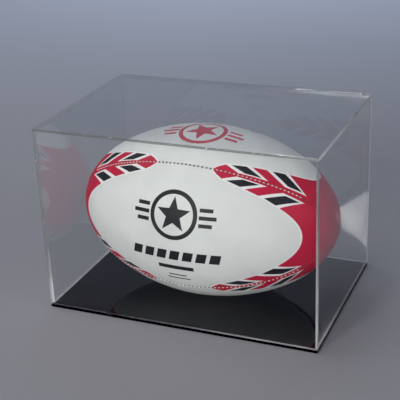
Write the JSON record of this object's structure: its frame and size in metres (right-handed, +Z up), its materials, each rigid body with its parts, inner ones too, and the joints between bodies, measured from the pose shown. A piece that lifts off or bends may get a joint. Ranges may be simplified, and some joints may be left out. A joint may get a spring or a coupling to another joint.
{
  "type": "ball display case",
  "caption": "Clear lift-off box cover on a flat gloss black base plate, holding an oval four-panel ball on show.",
  "frame": {"origin": "middle of the base plate's underside", "axes": "+X along the case's length to its right end, +Y to the back, +Z up"},
  "size_m": [0.306, 0.206, 0.209],
  "materials": {
    "clear_acrylic": "clear cast acrylic, polished faces and edges",
    "black_acrylic": "gloss black acrylic, mirror-like",
    "ball_cover": "white pimpled rubber printed in red and black",
    "seam_thread": "waxed off-white thread",
    "bladder_rubber": "plain black rubber",
    "valve_rubber": "smooth black rubber"
  },
  "bodies": {
    "base": {"base_plate": "black_acrylic"},
    "cover": {"front_panel": "clear_acrylic", "back_panel": "clear_acrylic", "left_panel": "clear_acrylic", "right_panel": "clear_acrylic", "top_panel": "clear_acrylic"},
    "ball": {"ball_panel_front": "ball_cover", "ball_panel_top": "ball_cover", "ball_panel_back": "ball_cover", "ball_panel_bottom": "ball_cover", "ball_seam_front_top": "seam_thread", "ball_seam_back_top": "seam_thread", "ball_seam_back_bottom": "seam_thread", "ball_seam_front_bottom": "seam_thread", "ball_bladder": "bladder_rubber", "ball_valve": "valve_rubber"}
  },
  "joints": [
    {"name": "cover_lift", "type": "slide", "parent": "base", "child": "cover", "axis": [0, 0, 1], "range_m": [0, 0.25]},
    {"name": "ball_turn", "type": "hinge", "parent": "base", "child": "ball", "pos_m": [0.0007, -0.005, 0.0973], "axis": [0.9995, -0.0332, 0], "continuous": true}
  ]
}
